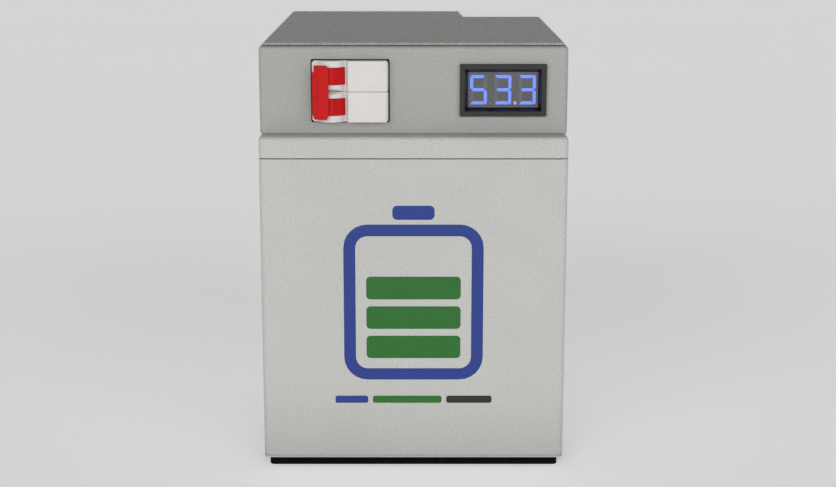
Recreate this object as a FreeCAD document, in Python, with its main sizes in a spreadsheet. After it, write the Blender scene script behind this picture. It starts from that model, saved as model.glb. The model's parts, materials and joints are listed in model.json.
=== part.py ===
import FreeCAD, Part
import math
import os
import re
import Sketcher
from FreeCAD import Placement, Rotation, Vector

# A steel-cased rechargeable battery pack, in millimetres.
# The origin is the centre of the footprint at the level that the pack stands on.
# +Z is up, the front with the breaker and the voltmeter faces -Y, and +X is the right
# of somebody who looks at the front.

doc = FreeCAD.newDocument("battery_pack")

# ---------------------------------------------------------------- driving dimensions

SIZES = {
    # steel case and its lid
    "case_width": 179.4, "case_length": 264, "sheet_gauge": 1.5, "corner_radius": 3,
    "mat_thickness": 5.2, "mat_inset": 3, "seam_height": 187, "flange_width": 15,
    "hem_height": 1.4, "hem_gap": 0.5, "foot_radius": 0.8,
    "seal_thickness": 0.5, "seal_inset": 0.8, "seal_width": 4,
    "lid_top": 200, "lid_radius": 2.5, "spacer_wall": 2,
    "harness_width": 60, "harness_front": -36, "harness_rear": -4,
    # electronics housing and its cover
    "housing_setback": 12, "housing_top": 251, "housing_radius": 2.2, "lip_width": 8,
    "housing_foot_radius": 1,
    "well_left": 35.5, "well_front": 80, "well_wall_top": 219.5,
    "cover_inset": 2.6, "cover_seal": 0.4, "cover_seal_inset": 4.6, "cover_seal_width": 3,
    "cover_gauge": 1.6, "cover_corner": 2, "tab_width": 26, "tab_drop": 13, "tab_gap": 1,
    "tab_screw_height": 244, "hook_across": 45,
    "screw_radius": 2, "screw_clearance": 0.8, "screw_column": 79.5, "pan_radius": 3.5,
    "pan_height": 2.4, "hex_radius": 1.4, "hex_depth": 1.6, "head_radius": 3.2,
    "head_depth": 1.2, "tab_screw_length": 8, "tab_hex_radius": 1.2, "tab_boss_radius": 5,
    # two-pole breaker, lying on its side
    "breaker_across": -36.65, "breaker_height": 225.3, "pole_width": 17.5, "pole_gap": 0.3,
    "pole_split": 13.8, "pole_wall": 1.5, "pole_reach": 40.5, "block_reach": 22.05,
    "pole_back": -64, "pole_base": 7.5, "shoulder": -108, "block_face": -126,
    "toggle_floor": -122, "toggle_ledge": -38.9, "face_edge": -37.9, "face_radius": 2.4,
    "outer_clip": 1.1, "seam_clip": 0.6, "valley_reach": 1.9, "valley_floor": -123,
    "breaker_slot_width": 45.8, "breaker_slot_height": 36.8, "slot_radius": 1.2,
    "axle_across": -48, "axle_along": -117.5, "axle_radius": 1.5,
    "cheek_radius": 8.8, "drum_radius": 9.4, "drum_width": 9.5, "drum_base": 4,
    "groove_radius": 0.4, "running_gap": 0.05, "drum_gap": 0.2, "drum_side_gap": 0.3,
    "tie_bottom": 209.5, "tie_top": 240.6, "tie_step": 1.2, "tie_step_height": 3.8,
    "tie_radius": 0.9,
    "lever_angle": 27, "lever_width": 3, "lever_height": 8, "lever_start": 6, "lever_end": 11,
    "arm_across": -40.85, "arm_along": -98, "trunnion_radius": 2, "hub_radius": 3.5,
    "hub_gap": 0.1, "arm_reach": 20, "arm_half": 2, "contact_half": 2.5, "tip_length": 4,
    "tip_half": 2, "tip_rise": 1, "contact_overlap": 5, "contact_gap": 0.1, "contact_gauge": 1.5,
    "contact_inset": 3.5,
    "chute_start": 6, "chute_length": 20, "chute_along": 9, "chute_pitch": 2.4, "chute_gauge": 1,
    "chute_gap": 0.5,
    "coil_start": 27, "coil_along": 13, "coil_rise": 0.5, "coil_radius": 5, "coil_length": 16,
    "core_radius": 2.5, "core_length": 20,
    "clamp_reach": 34, "clamp_along": -96, "clamp_rise": 7.5, "cage_size": 11, "cage_gauge": 1.2,
    "cage_length": 8, "entry_radius": 4, "driver_radius": 2.4,
    "link_out": 5, "link_length": 16, "link_gauge": 3, "link_half": 2,
    "rail_half": 17.5, "hat_half": 13.5, "rail_gauge": 1, "rail_depth": 7.5, "rail_front": -69,
    "rail_length": 42, "rail_gap": 0.7, "bracket_reach": 20, "bracket_gauge": 2,
    "bracket_width": 40,
    # panel voltmeter
    "meter_across": 52, "meter_height": 225.7, "bezel_width": 50.3, "bezel_height": 30.4,
    "bezel_radius": 0.7, "bezel_proud": 2, "bezel_edge": 0.33, "body_width": 45.6,
    "body_height": 26.4, "body_depth": 16, "body_wall": 1.2, "mouth_width": 44.7,
    "mouth_height": 24.6, "glass_width": 40.8, "glass_height": 20.7, "glass_recess": 3.8,
    "glass_gap": 0.2, "glass_seat": 2, "display_depth": 7, "chip_rise": 1.8, "plug_rise": 7,
    # output terminals in the well
    "negative_across": 47.3, "positive_across": 76.3, "post_along": 108, "tray_thickness": 4.5,
    "tray_gap": 1, "tray_skin": 1.5, "divider_half": 1.25, "sleeve_wall": 1.2, "sleeve_reach": 7,
    "bar_thickness": 2, "bar_width": 15, "bar_clearance": 1.5, "bar_inside": 20, "bar_end": 9,
    "post_height": 10, "post_radius": 8, "post_foot": 4, "post_flat": 9.5, "post_edge": 0.5,
    "stud_hole_radius": 3.4, "stud_hole_depth": 12, "spigot_radius": 5,
    # cell stack
    "cell_width": 70, "cell_thickness": 27, "cell_height": 162.5, "cell_radius": 3,
    "cell_pitch": 28, "cell_column": 36.25, "pad_thickness": 3, "cell_post": 20,
    "cell_post_radius": 4, "cell_post_height": 3, "vent_length": 12, "vent_width": 8,
    "vent_depth": 0.5, "busbar_width": 14, "busbar_overlap": 12, "end_plate": 4,
    "end_plate_drop": 8, "strap_gauge": 0.8, "strap_width": 12,
    # battery management board
    "board_left": -70, "board_right": 10, "board_front": 20, "board_rear": 108,
    "heatsink_base": 4, "heatsink_rise": 10, "boss_radius": 4, "fin_start": 16, "fin_pitch": 8,
    "fin_gauge": 2, "fin_inset": 3, "fin_gap": 1, "board_gauge": 1.6, "board_screw": 1.5,
    "board_margin": 6, "transistor_start": 18, "transistor_pitch": 9, "transistor_width": 6.5,
    "transistor_rise": 3, "solder_long": 16, "solder_short": 12, "solder_rise": 2,
    "solder_across": 20, "solder_inset": 14, "solder_front": 8, "solder_rear": 18,
    "socket_rise": 9,
    # power cables
    "cable_radius": 3.2, "lug_half": 7, "lug_front": 8, "barrel_half": 4, "barrel_end": 12,
    "barrel_wall": 0.8,
}

sheet = doc.addObject("Spreadsheet::Sheet", "Sizes")
for row, (alias, number) in enumerate(SIZES.items(), 1):
    sheet.set(f"A{row}", alias)
    sheet.set(f"B{row}", str(number))
    sheet.setAlias(f"B{row}", alias)
doc.recompute()

# Places worked out from the driving dimensions.
SIDE = "case_width/2"
REAR = "case_length/2"
HOUSING_FRONT = "(housing_setback - case_length/2)"
CASE_FLOOR = "(mat_thickness + sheet_gauge)"
LID_BOTTOM = "(seam_height + seal_thickness)"
LID_UNDERSIDE = "(lid_top - sheet_gauge)"
COVER_BOTTOM = "(housing_top + cover_seal)"
COVER_TOP = "(housing_top + cover_seal + cover_gauge)"
CELL_BOTTOM = "(mat_thickness + sheet_gauge + pad_thickness)"
BUSBAR_BOTTOM = f"({CELL_BOTTOM} + cell_height + cell_post_height)"
CABLE_LEVEL = f"({BUSBAR_BOTTOM} + bar_thickness + cable_radius)"
TRAY_TOP = "(lid_top + tray_thickness)"
BAR_TOP = "(lid_top + tray_thickness + bar_thickness)"
POST_TOP = f"({BAR_TOP} + post_height)"
BOARD_BOTTOM = "(lid_top + heatsink_rise)"
BOARD_TOP = f"({BOARD_BOTTOM} + board_gauge)"
BEZEL_FACE = f"({HOUSING_FRONT} - bezel_proud)"
GLASS_FACE = f"({BEZEL_FACE} + glass_recess)"

LID_SCREW_ROWS = (-104, -12, 52)
# The cover's screwed tabs: where each stands across the pack, and against which wall.
COVER_TABS = ((-60, REAR), (-8, REAR), (62, "well_front"))
GROOVE_ANGLES = (13, 20, 27, 34)
# The tie bar's section, as distances to the left and the front of the axle.
TIE_SECTION = ((0.8, 9.75), (0.9, 11.5), (4.1, 12.9), (6.1, 12.8), (10.5, 9.3), (10, 7.4))
# The tie bar's other clipped corners: side, end, width and height of each clip.
TIE_CLIPS = (("left", "tie_bottom", 1.3, 3.4), ("right", "tie_bottom", 1.2, 2.4),
             ("right", "tie_top", 1.2, -1.6))
CHUTE_PLATES = 6
FIN_COUNT = 7
TRANSISTOR_COLUMNS = 6
TRANSISTOR_ROWS = (28, 44)
# The parts on the meter's board: across, up, width and height, from the meter's middle.
METER_CHIPS = ((-10, 0, 9, 7), (3, 4, 5, 4))
METER_PLUG = (14, 0, 8, 10)
# The sockets on the management board: across, along, width and length, from its front left.
BOARD_SOCKETS = ((24, 74, 26, 8), (20, 8, 14, 7))
CELL_ROWS = 8
POLES = ("lower", "upper")
OUTPUTS = ("negative_across", "positive_across")
AXES = {"x": Vector(1, 0, 0), "y": Vector(0, 1, 0), "z": Vector(0, 0, 1)}
PIECES = []


# ---------------------------------------------------------------- helpers

def bound(text):
    """The expression in terms of the spreadsheet's cells."""
    return re.sub(r"[a-z_]+", lambda word: f"Sizes.{word.group()}" if word.group() in SIZES
                  else word.group(), str(text))


def value(text):
    """The expression's number now."""
    return float(doc.Sizes.evalExpression(bound(text).replace("Sizes.", "")))


def piece(shape_object, label):
    """Names one finished sub-part."""
    shape_object.Label = label
    PIECES.append(shape_object)
    return shape_object


def new_body(name):
    body = doc.addObject("PartDesign::Body", name)
    body.AllowCompound = True
    return piece(body, name)


def sketch(body, role="XY_Plane", height="0"):
    """An empty sketch on one of the body's own planes, moved along the plane's normal.
    The XZ plane's normal is -Y, so a height there is a distance towards the front."""
    drawing = body.newObject("Sketcher::SketchObject", f"{body.Name}_sketch")
    origin_plane = next(item for item in body.Origin.OriginFeatures if item.Role == role)
    drawing.AttachmentSupport = [(origin_plane, "")]
    drawing.MapMode = "FlatFace"
    drawing.setExpression("AttachmentOffset.Base.z", bound(height))
    return drawing


def fix(drawing, kind, places, expression):
    """A dimension that follows the spreadsheet."""
    index = drawing.addConstraint(Sketcher.Constraint(kind, *places, value(expression)))
    drawing.setExpression(f"Constraints[{index}]", bound(expression))


def polygon(drawing, points):
    """A closed outline through points given as pairs of expressions."""
    corners = [Vector(value(across), value(up), 0) for across, up in points]
    first = drawing.GeometryCount
    count = len(points)
    for index in range(count):
        drawing.addGeometry(Part.LineSegment(corners[index], corners[(index + 1) % count]))
    for index in range(count):
        drawing.addConstraint(Sketcher.Constraint(
            "Coincident", first + index, 2, first + (index + 1) % count, 1))
    for index, (across, up) in enumerate(points):
        fix(drawing, "DistanceX", (-1, 1, first + index, 1), across)
        fix(drawing, "DistanceY", (-1, 1, first + index, 1), up)
    return drawing


def rectangle(drawing, left, right, low, high):
    return polygon(drawing, ((left, low), (right, low), (right, high), (left, high)))


def centred(drawing, across, up, width, height):
    """A rectangle about a centre."""
    return rectangle(drawing, f"{across} - ({width})/2", f"{across} + ({width})/2",
                     f"{up} - ({height})/2", f"{up} + ({height})/2")


def circle(drawing, across, up, radius):
    centre = Vector(value(across), value(up), 0)
    index = drawing.addGeometry(Part.Circle(centre, Vector(0, 0, 1), value(radius)))
    fix(drawing, "Radius", (index,), radius)
    fix(drawing, "DistanceX", (-1, 1, index, 3), across)
    fix(drawing, "DistanceY", (-1, 1, index, 3), up)
    return drawing


def circles(drawing, places, radius):
    for across, up in places:
        circle(drawing, across, up, radius)
    return drawing


def pad(body, drawing, length, down=False):
    feature = body.newObject("PartDesign::Pad", f"{body.Name}_pad")
    feature.Profile = drawing
    feature.setExpression("Length", bound(length))
    feature.Reversed = down
    body.Tip = feature
    doc.recompute()
    return feature


def pocket(body, drawing, length, up=False, taper=None):
    """A cut against the sketch's normal, or along it."""
    before = body.Shape.Volume
    feature = body.newObject("PartDesign::Pocket", f"{body.Name}_pocket")
    feature.Profile = drawing
    feature.setExpression("Length", bound(length))
    feature.Reversed = up
    if taper:
        feature.setExpression("TaperAngle", bound(taper))
    body.Tip = feature
    doc.recompute()
    if body.Shape.Volume > before - 0.01:
        raise RuntimeError(f"{feature.Name} cuts nothing")
    return feature


def round_edges(body, radius, chosen):
    """Rounds the edges of the body that the test picks."""
    base = body.Tip
    names = [f"Edge{index}" for index, edge in enumerate(base.Shape.Edges, 1) if chosen(edge)]
    feature = body.newObject("PartDesign::Fillet", f"{body.Name}_round")
    feature.Base = (base, names)
    feature.setExpression("Radius", bound(radius))
    body.Tip = feature
    doc.recompute()
    return feature


def upright(edge):
    return edge.BoundBox.ZLength > 0.4 and edge.BoundBox.XLength + edge.BoundBox.YLength < 0.01


def level(height):
    """A test for edges that lie at one height."""
    wanted = value(height)
    return lambda edge: abs(edge.BoundBox.ZMin - wanted) + abs(edge.BoundBox.ZMax - wanted) < 0.01


def box(name, low, high):
    """A block between two corners."""
    block = doc.addObject("Part::Box", name)
    for side, axis, start, end in zip(("Length", "Width", "Height"), "xyz", low, high):
        block.setExpression(side, bound(f"({end}) - ({start})"))
        block.setExpression(f"Placement.Base.{axis}", bound(start))
    return block


def place(solid, start, along):
    """Stands a solid of revolution at a point, along an axis."""
    solid.Placement = Placement(Vector(), Rotation(Vector(0, 0, 1), AXES[along]))
    for axis, where in zip("xyz", start):
        solid.setExpression(f"Placement.Base.{axis}", bound(where))
    return solid


def cylinder(name, start, radius, length, along="z"):
    solid = doc.addObject("Part::Cylinder", name)
    solid.setExpression("Radius", bound(radius))
    solid.setExpression("Height", bound(length))
    return place(solid, start, along)


def cone(name, start, radius, end_radius, length, along="z"):
    solid = doc.addObject("Part::Cone", name)
    solid.setExpression("Radius1", bound(radius))
    solid.setExpression("Radius2", bound(end_radius))
    solid.setExpression("Height", bound(length))
    return place(solid, start, along)


def fuse(name, solids):
    joined = doc.addObject("Part::MultiFuse", name)
    joined.Shapes = list(solids)
    doc.recompute()
    return joined


def cut(name, base, tools):
    result = doc.addObject("Part::Cut", name)
    result.Base = base
    result.Tool = tools[0] if len(tools) == 1 else fuse(f"{name}_tool", tools)
    doc.recompute()
    return result


def pole_floor(pole):
    """The lowest level of one breaker pole."""
    return (f"(breaker_height - pole_width - pole_gap/2"
            f" + {POLES.index(pole)}*(pole_width + pole_gap))")


# ---------------------------------------------------------------- case and lid

def lid_screw_places():
    return [(f"{side}*screw_column", str(along)) for side in (-1, 1) for along in LID_SCREW_ROWS]


def board_screw_places():
    return [(across, along)
            for across in ("board_left + board_margin", "board_right - board_margin")
            for along in ("board_front + board_margin", "board_rear - board_margin")]


def inset_rectangle(drawing, inset):
    return rectangle(drawing, f"{inset} - {SIDE}", f"{SIDE} - {inset}",
                     f"{inset} - {REAR}", f"{REAR} - {inset}")


def base_mat():
    body = new_body("base_mat")
    pad(body, inset_rectangle(sketch(body), "mat_inset"), "mat_thickness")
    round_edges(body, "corner_radius", upright)


def case_shell():
    """A bent tub with an inward flange round its mouth and a weld line above its floor."""
    body = new_body("case_shell")
    outline = inset_rectangle(sketch(body, height="mat_thickness"), "0")
    pad(body, outline, "seam_height - mat_thickness")
    weld_line = inset_rectangle(sketch(body, height="mat_thickness + hem_height"), "-1")
    inset_rectangle(weld_line, "hem_gap")
    pocket(body, weld_line, "hem_gap", up=True)
    round_edges(body, "corner_radius", upright)
    round_edges(body, "foot_radius", level("mat_thickness"))
    mouth = inset_rectangle(sketch(body, height="seam_height"), "flange_width")
    pocket(body, mouth, f"seam_height - {CASE_FLOOR}")
    inside = inset_rectangle(sketch(body, height="seam_height - sheet_gauge"), "sheet_gauge")
    pocket(body, inside, f"seam_height - sheet_gauge - {CASE_FLOOR}")
    holes = circles(sketch(body, height="seam_height"), lid_screw_places(),
                    "screw_radius + screw_clearance")
    pocket(body, holes, "sheet_gauge")


def lid_gasket():
    body = new_body("lid_gasket")
    ring = inset_rectangle(sketch(body, height="seam_height"), "seal_inset")
    inset_rectangle(ring, "(seal_inset + seal_width)")
    pad(body, ring, "seal_thickness")
    round_edges(body, "corner_radius - seal_inset", upright)


def case_lid():
    """An upturned tray that closes the tub and carries the electronics."""
    body = new_body("case_lid")
    pad(body, inset_rectangle(sketch(body, height=LID_BOTTOM), "0"), f"lid_top - {LID_BOTTOM}")
    round_edges(body, "corner_radius", upright)
    round_edges(body, "lid_radius", level("lid_top"))
    inside = inset_rectangle(sketch(body, height=LID_BOTTOM), "sheet_gauge")
    pocket(body, inside, f"{LID_UNDERSIDE} - {LID_BOTTOM}", up=True)
    holes = circles(sketch(body, height="lid_top"), lid_screw_places(), "screw_radius")
    circles(holes, board_screw_places(), "board_screw")
    rectangle(holes, "-harness_width/2", "harness_width/2", "harness_front", "harness_rear")
    pocket(body, holes, "sheet_gauge")


def lid_standoffs():
    """Swaged spacers on the tub's flange, tapped for the screws from above."""
    body = new_body("lid_standoffs")
    places = lid_screw_places()
    spacer = circles(sketch(body, height="seam_height"), places, "screw_radius + spacer_wall")
    pad(body, spacer, f"{LID_UNDERSIDE} - seam_height")
    shank = circles(sketch(body, height="seam_height"), places, "screw_radius + screw_clearance")
    pad(body, shank, "sheet_gauge", down=True)
    swage = circles(sketch(body, height="seam_height - sheet_gauge"), places,
                    "screw_radius + 2*screw_clearance")
    pad(body, swage, "sheet_gauge/2", down=True)
    thread = circles(sketch(body, height=LID_UNDERSIDE), places, "screw_radius")
    pocket(body, thread, f"{LID_UNDERSIDE} - seam_height + 2.5*sheet_gauge")


def module_screws():
    """Screws through the housing's flange and the lid into the standoffs."""
    body = new_body("module_screws")
    seat = "lid_top + sheet_gauge"
    heads = circles(sketch(body, height=seat), lid_screw_places(), "pan_radius")
    pad(body, heads, "pan_height")
    sockets = circles(sketch(body, height=f"{seat} + pan_height"), lid_screw_places(),
                      "hex_radius")
    pocket(body, sockets, "hex_depth")
    shafts = circles(sketch(body, height=seat), lid_screw_places(), "screw_radius")
    pad(body, shafts, f"{seat} - seam_height - sheet_gauge", down=True)


# ---------------------------------------------------------------- electronics housing

def housing_outline(drawing, inset):
    """The L-shaped plan of the housing, which leaves the terminal well free."""
    left, right = f"{inset} - {SIDE}", f"{SIDE} - {inset}"
    front, rear = f"{HOUSING_FRONT} + {inset}", f"{REAR} - {inset}"
    notch_left, notch_front = f"well_left - {inset}", f"well_front - {inset}"
    return polygon(drawing, ((left, front), (right, front), (right, notch_front),
                             (notch_left, notch_front), (notch_left, rear), (left, rear)))


def outer_corner(edge):
    """Upright edges of the L, without the one inside its notch."""
    box_of_edge = edge.BoundBox
    nearby = value("2*corner_radius")
    in_notch = (abs(box_of_edge.XMin - value("well_left")) < nearby
                and abs(box_of_edge.YMin - value("well_front")) < nearby)
    return upright(edge) and not in_notch


def tab_sides(centre):
    return f"{centre} - tab_width/2", f"{centre} + tab_width/2"


def module_housing():
    body = new_body("module_housing")
    gauge = "sheet_gauge"
    pad(body, housing_outline(sketch(body, height="lid_top"), "0"), "housing_top - lid_top")
    round_edges(body, "corner_radius", outer_corner)
    round_edges(body, "housing_radius", level("housing_top"))
    low = rectangle(sketch(body, height="lid_top"), "well_left - corner_radius - sheet_gauge",
                    SIDE, "well_front - corner_radius - sheet_gauge", REAR)
    pad(body, low, "well_wall_top - lid_top")
    corner = (value(SIDE), value(REAR))
    round_edges(body, "corner_radius", lambda edge: upright(edge) and math.dist(
        (edge.BoundBox.XMax, edge.BoundBox.YMax), corner) < 0.01)
    round_edges(body, "housing_foot_radius", level("lid_top"))
    inside = housing_outline(sketch(body, height="housing_top - sheet_gauge"), gauge)
    pocket(body, inside, "housing_top - lid_top - 2*sheet_gauge")
    bottom = housing_outline(sketch(body, height="lid_top + sheet_gauge"), "flange_width")
    circles(bottom, lid_screw_places(), "screw_radius")
    pocket(body, bottom, gauge)
    top = housing_outline(sketch(body, height="housing_top"), "lip_width")
    pocket(body, top, gauge)
    slots = sketch(body, height="housing_top")
    for centre, wall in COVER_TABS:
        rectangle(slots, *tab_sides(centre), f"{wall} - lip_width - tab_gap",
                  f"{wall} - sheet_gauge")
    pocket(body, slots, gauge)
    well = rectangle(sketch(body, height="well_wall_top"), "well_left", f"{SIDE} - sheet_gauge",
                     "well_front", f"{REAR} - sheet_gauge")
    pocket(body, well, "well_wall_top - lid_top")
    housing_cutouts(body)


def housing_cutouts(body):
    """Openings for the breaker, the meter, the terminal bars and the cover's screws."""
    front = sketch(body, "XZ_Plane", f"-{HOUSING_FRONT}")
    centred(front, "breaker_across", "breaker_height", "breaker_slot_width", "breaker_slot_height")
    centred(front, "meter_across", "meter_height", "body_width + 2*glass_gap",
            "body_height + 2*glass_gap")
    pocket(body, front, "sheet_gauge")
    breaker_left = value("breaker_across - breaker_slot_width/2")
    breaker_right = value("breaker_across + breaker_slot_width/2")
    round_edges(body, "slot_radius", lambda edge: (
        edge.BoundBox.XLength + edge.BoundBox.ZLength < 0.01
        and min(abs(edge.BoundBox.XMin - breaker_left),
                abs(edge.BoundBox.XMin - breaker_right)) < 0.01))
    notch = sketch(body, "XZ_Plane", "-well_front")
    for across in OUTPUTS:
        centred(notch, across, f"{TRAY_TOP} + bar_thickness/2", "bar_width + 2*bar_clearance",
                "bar_thickness + 2*bar_clearance")
    pocket(body, notch, "sheet_gauge", up=True)
    for centre, wall in COVER_TABS:
        hole = circle(sketch(body, "XZ_Plane", f"-{wall}"), str(centre), "tab_screw_height",
                      "screw_radius")
        pocket(body, hole, "sheet_gauge", up=True)
        sink = circle(sketch(body, "XZ_Plane", f"-{wall}"), str(centre), "tab_screw_height",
                      "head_radius")
        pocket(body, sink, "head_depth", up=True,
               taper="-atan((head_radius - screw_radius)/head_depth)")


def cover_gasket():
    body = new_body("cover_gasket")
    ring = housing_outline(sketch(body, height="housing_top"), "cover_seal_inset")
    housing_outline(ring, "(cover_seal_inset + cover_seal_width)")
    pad(body, ring, "cover_seal")


def module_cover():
    """The top plate, hooked under the front lip and screwed by tabs at the back."""
    body = new_body("module_cover")
    plate = housing_outline(sketch(body, height=COVER_BOTTOM), "cover_inset")
    pad(body, plate, "cover_gauge")
    round_edges(body, "cover_corner", outer_corner)
    round_edges(body, "cover_gauge/3", level(COVER_TOP))
    tabs = sketch(body, height=COVER_BOTTOM)
    for centre, wall in COVER_TABS:
        left, right = tab_sides(centre)
        rectangle(tabs, f"{left} + tab_gap", f"{right} - tab_gap",
                  f"{wall} - cover_inset - sheet_gauge", f"{wall} - cover_inset")
    pad(body, tabs, "tab_drop", down=True)
    for centre, wall in COVER_TABS:
        boss = circle(sketch(body, "XZ_Plane", f"cover_inset - {wall}"), str(centre),
                      "tab_screw_height", "tab_boss_radius")
        pad(body, boss, "cover_inset - sheet_gauge", down=True)
        hole = circle(sketch(body, "XZ_Plane", f"sheet_gauge - {wall}"), str(centre),
                      "tab_screw_height", "screw_radius")
        pocket(body, hole, "cover_inset", up=True)
    hooks = sketch(body, height="housing_top - 2*sheet_gauge")
    feet = sketch(body, height="housing_top - 2*sheet_gauge")
    for side in (-1, 1):
        left, right = tab_sides(f"{side}*hook_across")
        back = f"{HOUSING_FRONT} + lip_width + 2*sheet_gauge"
        rectangle(hooks, left, right, f"{back} - sheet_gauge", back)
        rectangle(feet, left, right, f"{HOUSING_FRONT} + lip_width/2", back)
    pad(body, hooks, "2*sheet_gauge + cover_seal")
    pad(body, feet, "sheet_gauge")


def cover_screws():
    """Countersunk screws from outside, through the wall into the cover's tabs."""
    solids, sockets = [], []
    for index, (centre, wall) in enumerate(COVER_TABS):
        across, up = str(centre), "tab_screw_height"
        solids.append(cylinder(f"cover_screw_{index}", (across, f"{wall} - tab_screw_length", up),
                               "screw_radius", "tab_screw_length", "y"))
        solids.append(cone(f"cover_screw_head_{index}", (across, f"{wall} - head_depth", up),
                           "screw_radius", "head_radius", "head_depth", "y"))
        sockets.append(cylinder(f"cover_screw_socket_{index}", (across, f"{wall} - head_depth", up),
                                "tab_hex_radius", "head_depth", "y"))
    piece(cut("cover_screws", fuse("cover_screw_bodies", solids), sockets), "cover_screws")


# ---------------------------------------------------------------- breaker

def pole_outline(drawing, inset, back):
    """The stepped outline of a pole, seen from above; inset moves every wall inward."""
    left, right = f"breaker_across - pole_reach + {inset}", f"breaker_across + pole_reach - {inset}"
    block_left = f"breaker_across - block_reach + {inset}"
    block_right = f"breaker_across + block_reach - {inset}"
    shoulder, face = f"shoulder + {inset}", f"block_face + {inset}"
    floor = f"toggle_floor + {inset}"
    return polygon(drawing, (
        (left, back), (left, shoulder), (block_left, shoulder), (block_left, floor),
        (f"toggle_ledge + {inset}", floor), (f"face_edge + {inset}", face), (block_right, face),
        (block_right, shoulder), (right, shoulder), (right, back)))


def rail_slot(drawing):
    """The grooves in a pole's back that grip the rail."""
    gap = "running_gap"
    seat_front, seat_back = f"rail_front - {gap}", f"rail_front + rail_gauge + {gap}"
    reach, mouth = f"(rail_half + {gap})", "(hat_half + rail_gap)"
    middle, back = "breaker_across", "pole_back"
    return polygon(drawing, (
        (f"{middle} - {reach}", seat_front), (f"{middle} + {reach}", seat_front),
        (f"{middle} + {reach}", seat_back), (f"{middle} + {mouth}", seat_back),
        (f"{middle} + {mouth}", f"{back} + rail_gauge"),
        (f"{middle} - {mouth}", f"{back} + rail_gauge"),
        (f"{middle} - {mouth}", seat_back), (f"{middle} - {reach}", seat_back)))


def pole_half(name, low, high, cavity_low, cavity_high):
    """One half of a pole's moulding, hollow between the two cavity levels."""
    body = new_body(name)
    pad(body, pole_outline(sketch(body, height=low), "0", "pole_back"), f"{high} - {low}")
    cheeks = circle(sketch(body, height=low), "axle_across", "axle_along", "cheek_radius")
    pad(body, cheeks, f"{high} - {low}")
    inside = pole_outline(sketch(body, height=cavity_high), "pole_wall", "pole_back - pole_base")
    pocket(body, inside, f"{cavity_high} - {cavity_low}")
    pocket(body, rail_slot(sketch(body, height=high)), f"{high} - {low}")
    pins = circle(sketch(body, height=high), "axle_across", "axle_along", "axle_radius")
    circle(pins, "arm_across", "arm_along", "trunnion_radius + running_gap")
    pocket(body, pins, f"{high} - {low}")
    return body


def pole_case(pole):
    floor = pole_floor(pole)
    split = f"({floor} + pole_split)"
    body = pole_half(f"pole_case_{pole}", floor, split, f"({floor} + pole_wall)", split)
    window = circle(sketch(body, height=split), "axle_across", "axle_along",
                    "drum_radius + drum_gap")
    pocket(body, window, "pole_split - drum_base + drum_side_gap")
    shoulders = sketch(body, "XZ_Plane", "-shoulder")
    for side in (-1, 1):
        circle(shoulders, f"breaker_across + {side}*clamp_reach", f"{floor} + clamp_rise",
               "driver_radius")
    pocket(body, shoulders, "pole_wall")
    ends = circle(sketch(body, "YZ_Plane", "breaker_across + pole_reach"), "clamp_along",
                  f"{floor} + clamp_rise", "entry_radius")
    pocket(body, ends, "2*pole_reach")
    finish_block(body, floor, 1, pole == "upper")


def pole_cover(pole):
    floor = pole_floor(pole)
    split = f"({floor} + pole_split)"
    top = f"({floor} + pole_width)"
    body = pole_half(f"pole_cover_{pole}", split, top, split, f"({top} - pole_wall)")
    finish_block(body, top, -1, pole == "lower")


def finish_block(body, end, inward, at_seam):
    """Rounds the block's upright front edges, and clips its corners at one end of a pole."""
    face = value("block_face")
    for side, radius in (("breaker_across + block_reach", "face_radius"),
                         ("face_edge", "0.6*pole_wall")):
        across = value(side)
        round_edges(body, radius, lambda edge: upright(edge)
                    and abs(edge.BoundBox.YMin - face) + abs(edge.BoundBox.XMin - across) < 0.01)
    clip = "seam_clip" if at_seam else "outer_clip"
    corners = sketch(body, "XZ_Plane", "-block_face")
    for side in (-1, 1):
        edge = f"breaker_across + {side}*block_reach"
        polygon(corners, ((edge, end), (f"{edge} - {side}*{clip}", end),
                          (edge, f"{end} + {inward}*{clip}")))
    pocket(body, corners, "shoulder - block_face")
    if at_seam:
        valley = sketch(body, "YZ_Plane", "breaker_across - block_reach")
        polygon(valley, (("block_face - 1", end), ("valley_floor", end),
                         ("block_face - 1", f"{end} + {inward}*valley_reach")))
        pocket(body, valley, "toggle_ledge - breaker_across + block_reach", up=True)


def lever(pole):
    """The stub that carries the tie bar, leaning to the left of straight out."""
    block = doc.addObject("Part::Box", f"lever_{pole}")
    block.setExpression("Length", bound("lever_end - lever_start"))
    block.setExpression("Width", bound("lever_width"))
    block.setExpression("Height", bound("lever_height"))
    turn = math.radians(value("lever_angle"))
    outward = Vector(-math.sin(turn), -math.cos(turn), 0)
    block.Placement = Placement(Vector(), Rotation(Vector(0, 0, 1), math.degrees(
        math.atan2(outward.y, outward.x))))
    base = "drum_base + (drum_width - lever_height)/2"
    sine, cosine = "sin(lever_angle * 1 deg)", "cos(lever_angle * 1 deg)"
    block.setExpression("Placement.Base.x", bound(
        f"axle_across - lever_start*{sine} - lever_width/2*{cosine}"))
    block.setExpression("Placement.Base.y", bound(
        f"axle_along - lever_start*{cosine} + lever_width/2*{sine}"))
    block.setExpression("Placement.Base.z", bound(f"{pole_floor(pole)} + {base}"))
    doc.recompute()
    return block


def toggle(pole):
    """The drum on the axle with its lever, grooved where a fingertip pushes it back."""
    low = f"{pole_floor(pole)} + drum_base"
    centre = ("axle_across", "axle_along", low)
    drum = cylinder(f"drum_{pole}", centre, "drum_radius", "drum_width")
    grooves = [cylinder(f"groove_{pole}_{angle}",
                        (f"axle_across + drum_radius*sin({angle} * 1 deg)",
                         f"axle_along - drum_radius*cos({angle} * 1 deg)", low),
                        "groove_radius", "drum_width")
               for angle in GROOVE_ANGLES]
    whole = fuse(f"toggle_body_{pole}", [drum, lever(pole)])
    bore = cylinder(f"bore_{pole}", centre, "axle_radius + running_gap", "drum_width")
    piece(cut(f"toggle_{pole}", whole, [bore] + grooves), f"toggle_{pole}")


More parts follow.
